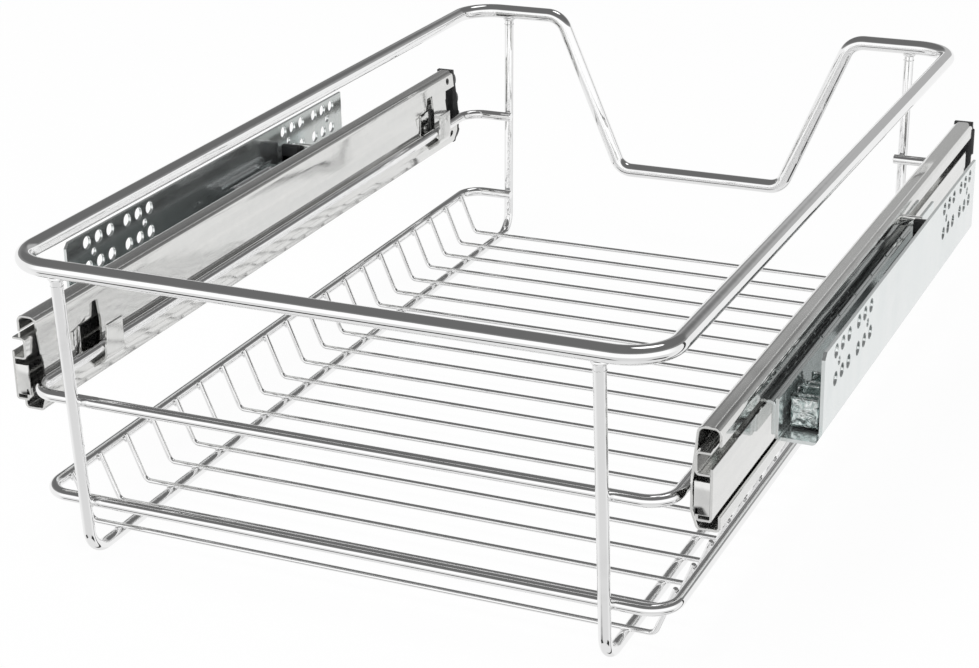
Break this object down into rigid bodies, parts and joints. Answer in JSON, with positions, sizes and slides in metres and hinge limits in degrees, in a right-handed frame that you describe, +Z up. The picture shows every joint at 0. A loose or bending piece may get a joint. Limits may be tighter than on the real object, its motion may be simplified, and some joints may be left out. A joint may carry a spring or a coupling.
{
  "type": "pull-out cabinet basket",
  "caption": "Wire basket for a kitchen base cabinet, hung between two full-extension soft-close slides with pierced side brackets; its front rim dips for access.",
  "frame": {"origin": "centre of the footprint, on the surface under the leg wires", "axes": "+X across the cabinet to the right as seen from behind the basket, +Y out of the cabinet (the way the basket pulls), +Z up"},
  "size_m": [0.368, 0.482, 0.1432],
  "materials": {
    "chromed_wire": "bright polished chrome plating",
    "slide_steel": "bright zinc-plated rolled strip",
    "zinc_sheet": "pale zinc-plated sheet with faint streaks",
    "zinc_casting": "satin zinc with a cool tint",
    "bright_steel": "bright hardened steel",
    "black_plastic": "satin moulded black"
  },
  "bodies": {
    "cabinet_side": {"left_cabinet_bracket": "zinc_sheet", "left_cabinet_rail": "zinc_sheet", "left_bracket_rivets": "bright_steel", "left_channel_buffer": "zinc_casting", "left_soft_close_housing": "zinc_casting", "left_soft_close_damper": "bright_steel", "left_soft_close_spring": "bright_steel", "right_cabinet_bracket": "zinc_sheet", "right_cabinet_rail": "zinc_sheet", "right_bracket_rivets": "bright_steel", "right_channel_buffer": "zinc_casting", "right_soft_close_housing": "zinc_casting", "right_soft_close_damper": "bright_steel", "right_soft_close_spring": "bright_steel"},
    "basket": {"rim_wire": "chromed_wire", "middle_rail": "chromed_wire", "lower_rail": "chromed_wire", "left_leg_wire": "chromed_wire", "right_leg_wire": "chromed_wire", "floor_wire_01": "chromed_wire", "floor_wire_02": "chromed_wire", "floor_wire_03": "chromed_wire", "floor_wire_04": "chromed_wire", "floor_wire_05": "chromed_wire", "floor_wire_06": "chromed_wire", "floor_wire_07": "chromed_wire", "floor_wire_08": "chromed_wire", "floor_wire_09": "chromed_wire", "floor_wire_10": "chromed_wire", "floor_wire_11": "chromed_wire", "floor_wire_12": "chromed_wire", "floor_wire_13": "chromed_wire", "floor_wire_14": "chromed_wire", "floor_wire_15": "chromed_wire", "floor_wire_16": "chromed_wire", "floor_wire_17": "chromed_wire", "floor_wire_18": "chromed_wire", "floor_wire_19": "chromed_wire", "floor_wire_20": "chromed_wire", "left_drawer_member": "slide_steel", "left_end_cap": "black_plastic", "right_drawer_member": "slide_steel", "right_end_cap": "black_plastic"},
    "left_intermediate": {"left_intermediate_member": "slide_steel"},
    "left_rail_cage_unit": {"left_rail_cage": "black_plastic", "left_rail_balls": "bright_steel"},
    "left_slide_cage_unit": {"left_upper_cage": "black_plastic", "left_lower_cage": "black_plastic", "left_slide_balls": "bright_steel"},
    "left_catch": {"left_soft_close_catch": "black_plastic", "left_damper_rod": "bright_steel"},
    "right_intermediate": {"right_intermediate_member": "slide_steel"},
    "right_rail_cage_unit": {"right_rail_cage": "black_plastic", "right_rail_balls": "bright_steel"},
    "right_slide_cage_unit": {"right_upper_cage": "black_plastic", "right_lower_cage": "black_plastic", "right_slide_balls": "bright_steel"},
    "right_catch": {"right_soft_close_catch": "black_plastic", "right_damper_rod": "bright_steel"}
  },
  "joints": [
    {"name": "basket_slide", "type": "slide", "parent": "cabinet_side", "child": "basket", "axis": [0, 1, 0], "range_m": [0, 0.38]},
    {"name": "left_intermediate_slide", "type": "slide", "parent": "cabinet_side", "child": "left_intermediate", "axis": [0, 1, 0], "range_m": [0, 0.19]},
    {"name": "left_rail_cage_slide", "type": "slide", "parent": "cabinet_side", "child": "left_rail_cage_unit", "axis": [0, 1, 0], "range_m": [0, 0.095]},
    {"name": "left_slide_cage_slide", "type": "slide", "parent": "cabinet_side", "child": "left_slide_cage_unit", "axis": [0, 1, 0], "range_m": [0, 0.285]},
    {"name": "left_catch_slide", "type": "slide", "parent": "cabinet_side", "child": "left_catch", "axis": [0, 1, 0], "range_m": [0, 0.035]},
    {"name": "right_intermediate_slide", "type": "slide", "parent": "cabinet_side", "child": "right_intermediate", "axis": [0, 1, 0], "range_m": [0, 0.19]},
    {"name": "right_rail_cage_slide", "type": "slide", "parent": "cabinet_side", "child": "right_rail_cage_unit", "axis": [0, 1, 0], "range_m": [0, 0.095]},
    {"name": "right_slide_cage_slide", "type": "slide", "parent": "cabinet_side", "child": "right_slide_cage_unit", "axis": [0, 1, 0], "range_m": [0, 0.285]},
    {"name": "right_catch_slide", "type": "slide", "parent": "cabinet_side", "child": "right_catch", "axis": [0, 1, 0], "range_m": [0, 0.035]}
  ],
  "couplings": [
    {"joint": "left_intermediate_slide", "follows": "basket_slide", "ratio": 0.5},
    {"joint": "left_rail_cage_slide", "follows": "basket_slide", "ratio": 0.25},
    {"joint": "left_slide_cage_slide", "follows": "basket_slide", "ratio": 0.75},
    {"joint": "left_catch_slide", "follows": "basket_slide", "ratio": 0.092105},
    {"joint": "right_intermediate_slide", "follows": "basket_slide", "ratio": 0.5},
    {"joint": "right_rail_cage_slide", "follows": "basket_slide", "ratio": 0.25},
    {"joint": "right_slide_cage_slide", "follows": "basket_slide", "ratio": 0.75},
    {"joint": "right_catch_slide", "follows": "basket_slide", "ratio": 0.092105}
  ]
}
